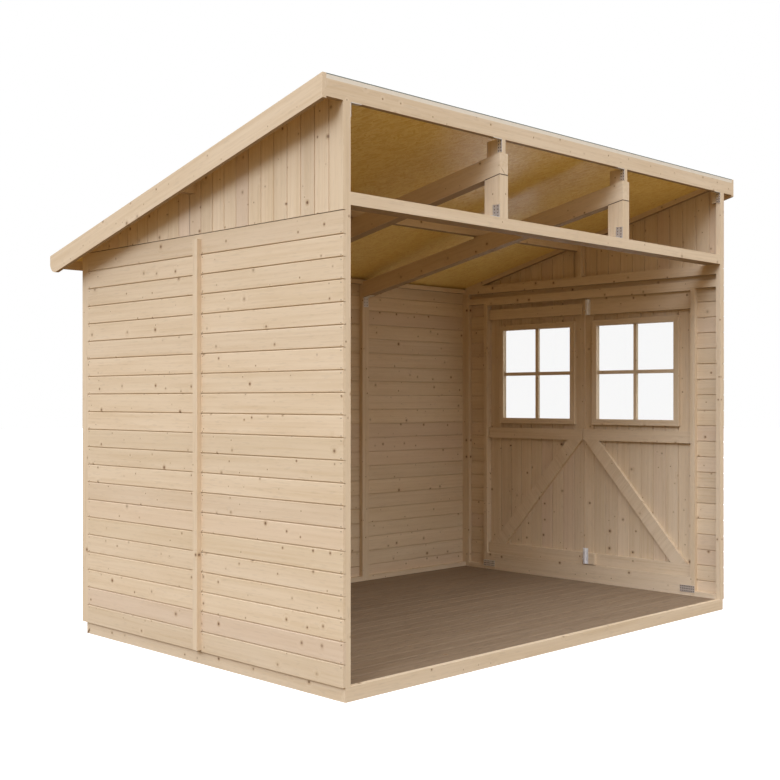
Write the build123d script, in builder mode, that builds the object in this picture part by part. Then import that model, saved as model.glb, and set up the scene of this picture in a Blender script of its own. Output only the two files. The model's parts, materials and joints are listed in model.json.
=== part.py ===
from build123d import *
import os
from math import atan2, cos, radians, sin, tan

# A timber garden shed with a single-pitch roof. It is three wall panels long and two
# deep, open along its tall front, with a glazed double door in the right-hand gable.
# X runs along the front, Y from the front to the low rear wall and Z up. The origin is
# the centre of the base's underside. All sizes are in millimetres.

# Wall panels and their timber
panel_width = 975.0
panels_long = 3
panels_deep = 2
stud = 28.0
board = 12.0
panel_joint = 1.0

length = panels_long * panel_width
side_length = panels_deep * panel_width
depth = side_length + stud
left = -length / 2
right = length / 2
front = -depth / 2
rear = depth / 2
side_rear = front + side_length

# Base and floor
base_height = 60.0
deck_thickness = 18.0
joist_width = 45.0
joist_count = 7

# Heights of the wall panels, from the top of the base upwards
lower_panel_height = 1834.0
panel_recess = 31.0
gable_rail_height = 55.0
upper_board_lap = 30.0
corner_block_drop = 57.0
mid_rail_height = 52.0
mid_rail_depth = 90.0

lower_panel_top = base_height + lower_panel_height
gable_rail_bottom = lower_panel_top + panel_recess
gable_rail_top = gable_rail_bottom + gable_rail_height
wall_boards_top = gable_rail_bottom + upper_board_lap
mid_rail_top = gable_rail_top + mid_rail_height

# Roof: its underside is one sloping plane
roof_pitch = 14.0
roof_rear_lift = 12.0
rear_rail_drop = 5.0
sheathing_thickness = 17.0
felt_thickness = 4.0
eaves_overhang = 162.0
verge_overhang = 121.0
verge_thickness = 20.0
verge_height = 99.0
verge_end_radius = 48.0

roof_rear_z = wall_boards_top + roof_rear_lift
roof_fall = tan(radians(roof_pitch))
eaves = rear + eaves_overhang
verge_left = left - verge_overhang
verge_right = right + verge_overhang
roof_left = verge_left + verge_thickness
roof_right = verge_right - verge_thickness

# Roof timbers
beam_height = 70.0
beam_thickness = 28.0
purlin_width = 45.0
eaves_batten_width = 28.0
eaves_batten_height = 40.0
rafter_width = 58.0
rafter_height = 98.0
rafter_pitch = 11.0
rafter_rear_drop = 26.0
block_width = 24.0
block_length = 90.0
purlin_seat_height = 13.0
purlin_seat_lead = 62.0

# Battens over the panel joints and mouldings on the rear corners, outside
batten_width = 35.0
batten_thickness = 23.0
batten_foot = 7.0
trim_width = 54.0
trim_thickness = 14.0

# Doorway and its two leaves
door_side_width = 194.0
sill_height = 97.0
header_height = 41.0
stop_thickness = 13.0
stop_height = 11.0
door_gap = 5.0
meeting_gap = 6.5
leaf_board = 14.0
ledge_thickness = 22.0
ledge_height = 70.0
bottom_ledge_height = 78.0
middle_ledge_rise = 786.0
rear_top_ledge_drop = 35.0
front_top_ledge_height = 110.0
brace_width = 74.0
brace_foot = 33.0
brace_head = 10.0
casing_width = 70.0

# Windows of the leaves
window_hinge_margin = 121.0
window_meeting_margin = 99.75
window_trim = 36.0
window_trim_gap_below = 29.0
window_trim_gap_above = 35.0
glass_rebate = 10.0
glass_thickness = 4.0
glass_play = 1.0

# Tee hinges
strap_length = 280.0
strap_tip = 18.0
hinge_metal = 2.5
knuckle_radius = 5.0
knuckle_length = 30.0
knuckle_play = 0.5
pin_radius = 2.5
pin_play = 0.3
plate_width = 38.0
plate_height = 110.0

# Bolts on the front leaf
bolt_width = 40.0
bolt_length = 100.0
bolt_inset = 15.0
bolt_end_gap = 11.0
bolt_plate = 2.0
bolt_radius = 6.0
bolt_block_width = 45.0

# Metal straps and angle brackets
bracket_metal = 2.5
bracket_width = 40.0
bracket_leg = 60.0
beam_bracket_width = 26.0
strap_plate_height = 41.0
strap_plate_length = 97.0
strap_plate_rise = 19.0

# Places worked out from the sizes above
opening_front = front + door_side_width
opening_rear = side_rear - door_side_width
door_opening = opening_rear - opening_front
sill_top = base_height + sill_height
header_bottom = lower_panel_top - header_height
leaf_bottom = sill_top + door_gap
leaf_top = header_bottom - door_gap
leaf_width = (door_opening - 2 * door_gap - meeting_gap) / 2
middle_ledge_bottom = leaf_bottom + middle_ledge_rise
window_bottom = middle_ledge_bottom + ledge_height + window_trim_gap_below + window_trim
window_top = leaf_top - front_top_ledge_height - window_trim_gap_above - window_trim
window_height = window_top - window_bottom
window_width = leaf_width - window_hinge_margin - window_meeting_margin
cladding_face = right + board
leaf_face = cladding_face + leaf_board
ledge_face = cladding_face - ledge_thickness
pin_x = leaf_face + knuckle_radius

roof_underside = Plane(
    origin=(0, rear, roof_rear_z),
    x_dir=(1, 0, 0),
    z_dir=(0, sin(radians(roof_pitch)), cos(radians(roof_pitch))),
)
roof_front_z = roof_rear_z + roof_fall * depth
beam_bottom = roof_front_z - beam_height

rafter_fall = tan(radians(rafter_pitch))
rafter_rear_z = roof_rear_z + roof_fall * stud - rafter_rear_drop
rafter_top = Plane(
    origin=(0, side_rear, rafter_rear_z),
    x_dir=(1, 0, 0),
    z_dir=(0, sin(radians(rafter_pitch)), cos(radians(rafter_pitch))),
)
rafter_bottom = Plane(
    origin=(0, side_rear, rafter_rear_z - rafter_height),
    x_dir=(1, 0, 0),
    z_dir=rafter_top.z_dir,
)
rafter_places = [left + (i + 1) * panel_width for i in range(panels_long - 1)]
purlin_front = front + panel_width + stud
purlin_bottom = (
    rafter_rear_z + rafter_fall * (side_rear - purlin_front) + purlin_seat_height
)


def timber(x_ends, y_ends, z_ends):
    """A straight piece between two ends along each axis, added to the open part."""
    with Locations((x_ends[0], y_ends[0], z_ends[0])):
        Box(
            x_ends[1] - x_ends[0],
            y_ends[1] - y_ends[0],
            z_ends[1] - z_ends[0],
            align=(Align.MIN, Align.MIN, Align.MIN),
        )


def roof_z(y):
    """Height of the roof's underside at a place between front and rear."""
    return roof_rear_z + roof_fall * (rear - y)


def save(piece, name):
    """Name a finished piece and write its file."""
    piece.part.label = name
    export_step(piece.part, f"parts/{name}.step")


os.makedirs("parts", exist_ok=True)


# Base: a rim under the wall frames, joists and a deck flush with the rim

with BuildPart() as base_long_rims:
    for y in (front, rear - stud):
        timber((left, right), (y, y + stud), (0, base_height))
save(base_long_rims, "base_long_rims")

with BuildPart() as base_end_rims:
    for x in (left, right - stud):
        timber((x, x + stud), (front + stud, rear - stud), (0, base_height))
save(base_end_rims, "base_end_rims")

joist_spacing = (length - 2 * stud) / (joist_count + 1)
with BuildPart() as base_joists:
    with BuildSketch():
        with GridLocations(joist_spacing, 0, joist_count, 1):
            Rectangle(joist_width, depth - 2 * stud)
    extrude(amount=base_height - deck_thickness)
save(base_joists, "base_joists")

with BuildPart() as floor_deck:
    with BuildSketch(Plane.XY.offset(base_height - deck_thickness)):
        Rectangle(length - 2 * stud, depth - 2 * stud)
    extrude(amount=deck_thickness)
save(floor_deck, "floor_deck")


# Open front: corner posts, middle rail and the short posts that carry the rafters

with BuildPart() as front_corner_posts:
    for x in (left, right - stud):
        timber((x, x + stud), (front, front + stud), (base_height, beam_bottom))
save(front_corner_posts, "front_corner_posts")

with BuildPart() as mid_rail:
    timber(
        (left + stud, right - stud),
        (front, front + mid_rail_depth),
        (gable_rail_top, mid_rail_top),
    )
save(mid_rail, "mid_rail")

with BuildPart() as short_posts:
    for x in rafter_places:
        timber(
            (x - rafter_width / 2, x + rafter_width / 2),
            (front, front + mid_rail_depth),
            (mid_rail_top, beam_bottom),
        )
    split(bisect_by=rafter_bottom, keep=Keep.BOTTOM)
save(short_posts, "short_posts")


# Roof timbers

with BuildPart() as rafters:
    for x in rafter_places:
        timber(
            (x - rafter_width / 2, x + rafter_width / 2),
            (front, side_rear),
            (lower_panel_top - 2 * rafter_height, beam_bottom),
        )
    split(bisect_by=rafter_top, keep=Keep.BOTTOM)
    split(bisect_by=rafter_bottom, keep=Keep.TOP)
save(rafters, "rafters")

with BuildPart() as rafter_blocks:
    for x in rafter_places:
        block_sides = (x - block_width / 2, x + block_width / 2)
        timber(block_sides, (front, front + block_length), (mid_rail_top, beam_bottom))
        seat_front = purlin_front - purlin_seat_lead
        timber(
            block_sides,
            (seat_front, seat_front + block_length),
            (purlin_bottom - rafter_height, purlin_bottom),
        )
    split(bisect_by=rafter_top, keep=Keep.TOP)
save(rafter_blocks, "rafter_blocks")

with BuildPart() as eaves_beams:
    timber((roof_left, roof_right), (front, front + beam_thickness), (beam_bottom, roof_front_z))
    timber(
        (roof_left, roof_right),
        (eaves - eaves_batten_width, eaves),
        (roof_z(eaves) - eaves_batten_height, roof_z(eaves - eaves_batten_width)),
    )
    split(bisect_by=roof_underside, keep=Keep.BOTTOM)
save(eaves_beams, "eaves_beams")

with BuildPart() as middle_purlin:
    timber(
        (roof_left, roof_right),
        (purlin_front, purlin_front + purlin_width),
        (purlin_bottom, roof_z(purlin_front)),
    )
    split(bisect_by=roof_underside, keep=Keep.BOTTOM)
save(middle_purlin, "middle_purlin")


# Roof covering and verge boards, as profiles run along the roof

with BuildPart() as roof_sheathing:
    with BuildSketch(Plane.YZ.offset(roof_left)):
        with BuildLine():
            Polyline(
                (front, roof_z(front)),
                (eaves, roof_z(eaves)),
                (eaves, roof_z(eaves) + sheathing_thickness),
                (front, roof_z(front) + sheathing_thickness),
                close=True,
            )
        make_face()
    extrude(amount=roof_right - roof_left)
save(roof_sheathing, "roof_sheathing")

felt_top = sheathing_thickness + felt_thickness
with BuildPart() as roof_felt:
    with BuildSketch(Plane.YZ.offset(roof_left)):
        with BuildLine():
            Polyline(
                (front, roof_z(front) + sheathing_thickness),
                (eaves, roof_z(eaves) + sheathing_thickness),
                (eaves, roof_z(eaves) + felt_top),
                (front, roof_z(front) + felt_top),
                close=True,
            )
        make_face()
    extrude(amount=roof_right - roof_left)
save(roof_felt, "roof_felt")

with BuildPart() as verge_boards:
    with BuildSketch(Plane.YZ.offset(verge_left)) as verge:
        with BuildLine():
            Polyline(
                (front, roof_z(front) + felt_top),
                (eaves, roof_z(eaves) + felt_top),
                (eaves, roof_z(eaves) + felt_top - verge_height),
                (front, roof_z(front) + felt_top - verge_height),
                close=True,
            )
        make_face()
        fillet(verge.vertices().sort_by(Axis.Y)[0], radius=verge_end_radius)
    extrude(amount=verge_thickness)
    mirror(about=Plane.YZ)
save(verge_boards, "verge_boards")


# Side walls: horizontal boards on frames one stud thick. The left wall is closed, the
# right one is broken by the doorway.

side_joints = [front + (i + 1) * panel_width for i in range(panels_deep - 1)]
half_joint = panel_joint / 2

with BuildPart() as left_wall_boards:
    timber((left - board, left), (front, side_rear), (base_height, wall_boards_top))
save(left_wall_boards, "left_wall_boards")

with BuildPart() as left_wall_studs:
    for y in side_joints:
        for stud_front in (y - stud, y + half_joint):
            timber(
                (left, left + stud),
                (stud_front, stud_front + stud - half_joint),
                (base_height, gable_rail_bottom),
            )
    timber(
        (left, left + stud),
        (side_rear - stud, side_rear),
        (base_height, gable_rail_bottom),
    )
save(left_wall_studs, "left_wall_studs")

side_bays = list(zip(
    [front + stud] + [y + stud for y in side_joints],
    [y - stud for y in side_joints] + [side_rear - stud],
))
with BuildPart() as left_wall_rails:
    for bay in side_bays:
        timber((left, left + stud), bay, (base_height, base_height + stud))
        timber((left, left + stud), bay, (lower_panel_top - stud, lower_panel_top))
save(left_wall_rails, "left_wall_rails")

with BuildPart() as door_side_boards:
    for ends in ((front, opening_front), (opening_rear, side_rear)):
        timber((right, cladding_face), ends, (base_height, header_bottom))
save(door_side_boards, "door_side_boards")

with BuildPart() as door_cross_boards:
    timber((right, cladding_face), (opening_front, opening_rear), (base_height, sill_top))
    timber((right, cladding_face), (front, side_rear), (header_bottom, wall_boards_top))
save(door_cross_boards, "door_cross_boards")

with BuildPart() as door_wall_studs:
    for stud_front, top in (
        (opening_front - stud, header_bottom),
        (opening_rear, header_bottom),
        (side_rear - stud, gable_rail_bottom),
    ):
        timber(
            (right - stud, right),
            (stud_front, stud_front + stud),
            (base_height, top),
        )
save(door_wall_studs, "door_wall_studs")

# The header, the sill and the rails. Header and sill have a stop on their inner edge
# that the leaves close against.
stop_face = right - stud + stop_thickness

with BuildPart() as door_wall_rails:
    for bay in (
        (front + stud, opening_front - stud),
        (opening_rear + stud, side_rear - stud),
    ):
        timber((right - stud, right), bay, (base_height, base_height + stud))
    timber(
        (right - stud, right),
        (front + stud, side_rear - stud),
        (header_bottom, lower_panel_top),
    )
    timber(
        (right - stud, stop_face),
        (opening_front, opening_rear),
        (header_bottom - stop_height, header_bottom),
    )
save(door_wall_rails, "door_wall_rails")

with BuildPart() as door_sill:
    timber((right - stud, right), (opening_front, opening_rear), (base_height, sill_top))
    timber(
        (right - stud, stop_face),
        (opening_front, opening_rear),
        (sill_top, sill_top + stop_height),
    )
save(door_sill, "door_sill")

with BuildPart() as door_side_casings:
    for casing_front in (opening_front - casing_width, opening_rear):
        timber(
            (cladding_face, leaf_face),
            (casing_front, casing_front + casing_width),
            (base_height, header_bottom),
        )
save(door_side_casings, "door_side_casings")

with BuildPart() as door_head_casing:
    timber(
        (cladding_face, leaf_face),
        (opening_front - casing_width, opening_rear + casing_width),
        (header_bottom, header_bottom + casing_width),
    )
save(door_head_casing, "door_head_casing")


# Gables above the side walls, cut off under the roof and notched round the purlin and
# the front beam

purlin_ends = (purlin_front, purlin_front + purlin_width)

with BuildPart() as gable_boards:
    for x in (left - board, right):
        timber((x, x + board), (front, side_rear), (wall_boards_top, roof_front_z))
    split(bisect_by=roof_underside, keep=Keep.BOTTOM)
    with BuildSketch(Plane.YZ.offset(left - board)):
        with Locations(((purlin_ends[0] + purlin_ends[1]) / 2, purlin_bottom)):
            Rectangle(purlin_width, roof_front_z, align=(Align.CENTER, Align.MIN))
        with Locations((front, beam_bottom)):
            Rectangle(beam_thickness, roof_front_z, align=(Align.MIN, Align.MIN))
    extrude(amount=length + 2 * board, mode=Mode.SUBTRACT)
save(gable_boards, "gable_boards")

with BuildPart() as gable_rails:
    for x in (left, right - stud):
        timber((x, x + stud), (front + stud, side_rear), (gable_rail_bottom, gable_rail_top))
    split(bisect_by=roof_underside, keep=Keep.BOTTOM)
save(gable_rails, "gable_rails")

# One stud under the purlin and one short block behind the top of each corner post
with BuildPart() as gable_studs:
    for x in (left, right - stud):
        timber(
            (x, x + stud),
            (purlin_front - stud, purlin_front),
            (gable_rail_top, roof_front_z),
        )
        timber(
            (x, x + stud),
            (front + stud, front + 2 * stud),
            (beam_bottom - corner_block_drop, roof_front_z),
        )
    split(bisect_by=roof_underside, keep=Keep.BOTTOM)
save(gable_studs, "gable_studs")

with BuildPart() as gable_sloped_rails:
    for x in (left, right - stud):
        for ends in (
            (front + 2 * stud, purlin_front - stud),
            (purlin_ends[1], side_rear),
        ):
            timber((x, x + stud), ends, (gable_rail_top, roof_front_z))
    split(bisect_by=roof_underside, keep=Keep.BOTTOM)
    split(bisect_by=roof_underside.offset(-stud), keep=Keep.TOP)
save(gable_sloped_rails, "gable_sloped_rails")


# Rear wall: boards up to the roof on a frame whose studs carry the rafters' rear ends

rear_joints = [left + (i + 1) * panel_width for i in range(panels_long - 1)]
rear_rail_bottom = roof_rear_z - rear_rail_drop - stud

with BuildPart() as rear_wall_boards:
    timber((left, right), (rear, rear + board), (base_height, roof_rear_z))
    split(bisect_by=roof_underside, keep=Keep.BOTTOM)
save(rear_wall_boards, "rear_wall_boards")

with BuildPart() as rear_wall_studs:
    stud_places = [(left, stud), (right - stud, stud)]
    for x in rear_joints:
        stud_places.append((x - stud, stud - half_joint))
        stud_places.append((x + half_joint, stud - half_joint))
    for x, width in stud_places:
        timber((x, x + width), (side_rear, rear), (base_height, rear_rail_bottom))
save(rear_wall_studs, "rear_wall_studs")

rear_bays = list(zip(
    [left + stud] + [x + stud for x in rear_joints],
    [x - stud for x in rear_joints] + [right - stud],
))
with BuildPart() as rear_wall_rails:
    for bay in rear_bays:
        timber(bay, (side_rear, rear), (base_height, base_height + stud))
    timber((left, right), (side_rear, rear), (rear_rail_bottom, rear_rail_bottom + stud))
save(rear_wall_rails, "rear_wall_rails")

batten_ends = (base_height + batten_foot, gable_rail_bottom + batten_foot)
with BuildPart() as wall_battens:
    for y in side_joints:
        timber(
            (left - board - batten_thickness, left - board),
            (y - batten_width / 2, y + batten_width / 2),
            batten_ends,
        )
    for x in rear_joints:
        timber(
            (x - batten_width / 2, x + batten_width / 2),
            (rear + board, rear + board + batten_thickness),
            batten_ends,
        )
save(wall_battens, "wall_battens")

with BuildPart() as corner_trims:
    with BuildSketch(Plane.XY.offset(base_height)):
        with BuildLine():
            Polyline(
                (left - board, side_rear),
                (left, side_rear),
                (left, rear + board),
                (left + trim_width - board, rear + board),
                (left + trim_width - board, rear + board + trim_thickness),
                (left - board, rear + board + trim_thickness),
                close=True,
            )
        make_face()
    extrude(amount=wall_boards_top - base_height)
    mirror(about=Plane.YZ)
save(corner_trims, "corner_trims")


# The two leaves swing outwards. Each is built from its hinged edge towards the meeting
# edge, so a place on it is a run from the hinged edge times the leaf's direction.

leaves = {
    "front": (opening_front + door_gap, 1, leaf_top, front_top_ledge_height),
    "rear": (opening_rear - door_gap, -1, leaf_top - rear_top_ledge_drop, ledge_height),
}

for leaf, (hinged_edge, way, top_ledge_top, top_ledge_height) in leaves.items():
    middle = hinged_edge + way * leaf_width / 2
    window_middle = hinged_edge + way * (window_hinge_margin + window_width / 2)
    window_level = window_bottom + window_height / 2
    pin_y = hinged_edge - way * door_gap / 2
    ledges = (
        (leaf_bottom, bottom_ledge_height),
        (middle_ledge_bottom, ledge_height),
        (top_ledge_top - top_ledge_height, top_ledge_height),
    )
    hinge_levels = [bottom + height / 2 for bottom, height in ledges]

    with BuildPart() as door_boards:
        with BuildSketch(Plane.YZ.offset(cladding_face)):
            with Locations((middle, (leaf_bottom + leaf_top) / 2)):
                Rectangle(leaf_width, leaf_top - leaf_bottom)
            with Locations((window_middle, window_level)):
                Rectangle(
                    window_width + 2 * glass_rebate,
                    window_height + 2 * glass_rebate,
                    mode=Mode.SUBTRACT,
                )
        extrude(amount=leaf_board)
    save(door_boards, f"{leaf}_door_boards")

    with BuildPart() as door_ledges:
        with BuildSketch(Plane.YZ.offset(ledge_face)):
            for bottom, height in ledges:
                with Locations((middle, bottom + height / 2)):
                    Rectangle(leaf_width, height)
        extrude(amount=ledge_thickness)
    save(door_ledges, f"{leaf}_door_ledges")

    brace_bottom = leaf_bottom + bottom_ledge_height
    brace_rise = middle_ledge_bottom - brace_bottom
    brace_run = leaf_width - brace_foot - brace_head
    brace_slope = atan2(brace_rise, brace_run)
    brace_cut = brace_width / sin(brace_slope)
    foot = hinged_edge + way * brace_foot
    head = hinged_edge + way * (leaf_width - brace_head)
    with BuildPart() as door_brace:
        with BuildSketch(Plane.YZ.offset(ledge_face)):
            with BuildLine():
                Polyline(
                    (foot, brace_bottom),
                    (foot + way * brace_cut, brace_bottom),
                    (head, middle_ledge_bottom),
                    (head - way * brace_cut, middle_ledge_bottom),
                    close=True,
                )
            make_face()
        extrude(amount=ledge_thickness)
    save(door_brace, f"{leaf}_door_brace")

    # The glass lies in the rebate between the inner trim and the outer beads.
    with BuildPart() as door_window_trim:
        with BuildSketch(Plane.YZ.offset(ledge_face)):
            with Locations((window_middle, window_level)):
                Rectangle(window_width + 2 * window_trim, window_height + 2 * window_trim)
                Rectangle(window_width, window_height, mode=Mode.SUBTRACT)
        extrude(amount=ledge_thickness)
        with BuildSketch(Plane.YZ.offset(cladding_face + glass_thickness)):
            with Locations((window_middle, window_level)):
                Rectangle(window_width + 2 * glass_rebate, window_height + 2 * glass_rebate)
                Rectangle(window_width, window_height, mode=Mode.SUBTRACT)
        extrude(amount=leaf_board - glass_thickness)
    save(door_window_trim, f"{leaf}_door_window_trim")

    with BuildPart() as door_glass:
        with BuildSketch(Plane.YZ.offset(cladding_face)):
            with Locations((window_middle, window_level)):
                Rectangle(
                    window_width + 2 * glass_rebate - 2 * glass_play,
                    window_height + 2 * glass_rebate - 2 * glass_play,
                )
        extrude(amount=glass_thickness)
    save(door_glass, f"{leaf}_door_glass")

    # Tee hinges: a tapered strap with the middle knuckle on the leaf, and a plate with
    # two knuckles and the pin on the casing.
    with BuildPart() as door_hinges:
        for level in hinge_levels:
            with BuildSketch(Plane.YZ.offset(leaf_face)):
                with BuildLine():
                    Polyline(
                        (pin_y, level - knuckle_length / 2),
                        (pin_y + way * strap_length, level - strap_tip / 2),
                        (pin_y + way * strap_length, level + strap_tip / 2),
                        (pin_y, level + knuckle_length / 2),
                        close=True,
                    )
                make_face()
            extrude(amount=hinge_metal)
            with BuildSketch(Plane.XY.offset(level - knuckle_length / 2)):
                with Locations((pin_x, pin_y)):
                    Circle(knuckle_radius)
            extrude(amount=knuckle_length)
            with BuildSketch(Plane.XY.offset(level - knuckle_length / 2)):
                with Locations((pin_x, pin_y)):
                    Circle(pin_radius + pin_play)
            extrude(amount=knuckle_length, mode=Mode.SUBTRACT)
    save(door_hinges, f"{leaf}_door_hinges")

    with BuildPart() as hinge_plates:
        for level in hinge_levels:
            with BuildSketch(Plane.YZ.offset(leaf_face)):
                with Locations((pin_y - way * (knuckle_radius + plate_width / 2), level)):
                    Rectangle(plate_width, plate_height)
                for side in (-1, 1):
                    knuckle_middle = level + side * (knuckle_length + knuckle_play)
                    with Locations((pin_y - way * knuckle_radius / 2, knuckle_middle)):
                        Rectangle(knuckle_radius, knuckle_length)
            extrude(amount=hinge_metal)
            for side in (-1, 1):
                knuckle_middle = level + side * (knuckle_length + knuckle_play)
                with BuildSketch(Plane.XY.offset(knuckle_middle - knuckle_length / 2)):
                    with Locations((pin_x, pin_y)):
                        Circle(knuckle_radius)
                extrude(amount=knuckle_length)
            with BuildSketch(Plane.XY.offset(level - knuckle_length)):
                with Locations((pin_x, pin_y)):
                    Circle(pin_radius)
            extrude(amount=2 * knuckle_length)
    save(hinge_plates, f"{leaf}_hinge_plates")


# Bolts on the front leaf's meeting edge, drawn back so that the leaf can swing

bolt_middle = (
    opening_front + door_gap + leaf_width - bolt_inset - bolt_width / 2
)
with BuildPart() as bolt_block:
    timber(
        (ledge_face - ledge_thickness, ledge_face),
        (bolt_middle - bolt_width / 2 - bolt_block_width, bolt_middle + bolt_width / 2),
        (leaf_bottom + bolt_end_gap, leaf_bottom + bottom_ledge_height),
    )
save(bolt_block, "bolt_block")

bolt_seats = (
    (ledge_face, leaf_top - bolt_end_gap - bolt_length),
    (ledge_face - ledge_thickness, leaf_bottom + bolt_end_gap),
)
with BuildPart() as tower_bolts:
    for seat, bottom in bolt_seats:
        with BuildSketch(Plane.YZ.offset(seat - bolt_plate)):
            with Locations((bolt_middle, bottom + bolt_length / 2)):
                Rectangle(bolt_width, bolt_length)
        extrude(amount=bolt_plate)
        with BuildSketch(Plane.XY.offset(bottom)):
            with Locations((seat - bolt_plate - bolt_radius, bolt_middle)):
                Circle(bolt_radius)
                with Locations((bolt_radius / 2, 0)):
                    Rectangle(bolt_radius, 2 * bolt_radius)
        extrude(amount=bolt_length)
save(tower_bolts, "tower_bolts")


# Metal: angle brackets at the timbers' joints, and straps across post and sill

def angle_outline(corner, first_way, second_way):
    """Outline of an angle from its inner corner, one leg along each way."""
    a, b = corner
    return [
        (a, b),
        (a + first_way * bracket_leg, b),
        (a + first_way * bracket_leg, b + second_way * bracket_metal),
        (a + first_way * bracket_metal, b + second_way * bracket_metal),
        (a + first_way * bracket_metal, b + second_way * bracket_leg),
        (a, b + second_way * bracket_leg),
    ]


bracket_seats = [
    (left + stud, beam_bottom, 1, -1, beam_bracket_width),
    (right - stud, beam_bottom, -1, -1, beam_bracket_width),
]
for x in rafter_places:
    bracket_seats.append((x - rafter_width / 2, mid_rail_top, -1, 1, bracket_width))
    bracket_seats.append((x - block_width / 2, beam_bottom, -1, -1, beam_bracket_width))

with BuildPart() as angle_brackets:
    for x, z, x_way, z_way, width in bracket_seats:
        with BuildSketch(Plane.XZ.offset(-front)):
            with BuildLine():
                Polyline(*angle_outline((x, z), x_way, z_way), close=True)
            make_face()
        extrude(amount=-width)
    # Under the rafters' rear ends, one leg on the rafter and one on the studs
    rafter_seat = rafter_rear_z - rafter_height
    for x in rafter_places:
        with BuildSketch(Plane.YZ.offset(x - bracket_width / 2)):
            with BuildLine():
                Polyline(
                    (side_rear, rafter_seat),
                    (side_rear - bracket_leg, rafter_seat + rafter_fall * bracket_leg),
                    (
                        side_rear - bracket_leg,
                        rafter_seat + rafter_fall * bracket_leg - bracket_metal,
                    ),
                    (side_rear - bracket_metal, rafter_seat - bracket_metal),
                    (side_rear - bracket_metal, rafter_seat - bracket_leg),
                    (side_rear, rafter_seat - bracket_leg),
                    close=True,
                )
            make_face()
        extrude(amount=bracket_width)
save(angle_brackets, "angle_brackets")

with BuildPart() as post_straps:
    for y, way in ((opening_front, 1), (opening_rear, -1)):
        strap_middle = y - way * stud + way * strap_plate_length / 2
        with BuildSketch(Plane.YZ.offset(right - stud - bracket_metal)):
            with Locations((strap_middle, base_height + strap_plate_rise)):
                Rectangle(
                    strap_plate_length,
                    strap_plate_height,
                    align=(Align.CENTER, Align.MIN),
                )
        extrude(amount=bracket_metal)
save(post_straps, "post_straps")
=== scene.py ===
import json
import math
import random

import bmesh
import bpy
from mathutils import Euler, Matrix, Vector


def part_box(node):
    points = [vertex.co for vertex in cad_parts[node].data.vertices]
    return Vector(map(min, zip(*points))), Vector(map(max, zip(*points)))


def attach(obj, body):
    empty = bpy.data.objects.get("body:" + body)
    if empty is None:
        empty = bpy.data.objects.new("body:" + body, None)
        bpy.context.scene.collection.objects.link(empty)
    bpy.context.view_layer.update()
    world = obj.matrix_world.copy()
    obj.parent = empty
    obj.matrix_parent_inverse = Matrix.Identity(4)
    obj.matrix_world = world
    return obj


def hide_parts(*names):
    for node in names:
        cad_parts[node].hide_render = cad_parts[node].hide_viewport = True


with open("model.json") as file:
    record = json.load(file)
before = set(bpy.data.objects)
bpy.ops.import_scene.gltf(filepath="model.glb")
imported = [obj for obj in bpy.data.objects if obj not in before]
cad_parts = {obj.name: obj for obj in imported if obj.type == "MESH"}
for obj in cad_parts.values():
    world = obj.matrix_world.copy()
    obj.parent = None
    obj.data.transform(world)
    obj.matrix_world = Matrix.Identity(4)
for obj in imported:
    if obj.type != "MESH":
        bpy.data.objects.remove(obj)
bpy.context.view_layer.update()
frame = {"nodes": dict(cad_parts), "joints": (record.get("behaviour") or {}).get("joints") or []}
nodes = frame["nodes"]
X, Y, Z = 0, 1, 2


# Camera: it stands level, looking along the diagonal into the open front

PHOTO_WIDTH = 780
FOCAL_PIXELS = 1168.0
CENTRE_PIXEL = 400.0
SENSOR = 36.0
CAMERA_PLACE = (-4.5849, -4.4173, 1.2023)
CAMERA_YAW = -45.0
FAR_CLIP = 200.0

camera_data = bpy.data.cameras.new("camera")
camera_data.sensor_width = SENSOR
camera_data.lens = FOCAL_PIXELS / PHOTO_WIDTH * SENSOR
camera_data.shift_x = -(CENTRE_PIXEL - PHOTO_WIDTH / 2) / PHOTO_WIDTH
camera_data.shift_y = (CENTRE_PIXEL - PHOTO_WIDTH / 2) / PHOTO_WIDTH
camera_data.clip_end = FAR_CLIP
camera = bpy.data.objects.new("camera", camera_data)
camera.location = CAMERA_PLACE
camera.rotation_euler = Euler((math.radians(90.0), 0.0, math.radians(CAMERA_YAW)))
bpy.context.scene.collection.objects.link(camera)
bpy.context.scene.camera = camera
bpy.context.scene.view_settings.view_transform = "Standard"


# Materials

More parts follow.
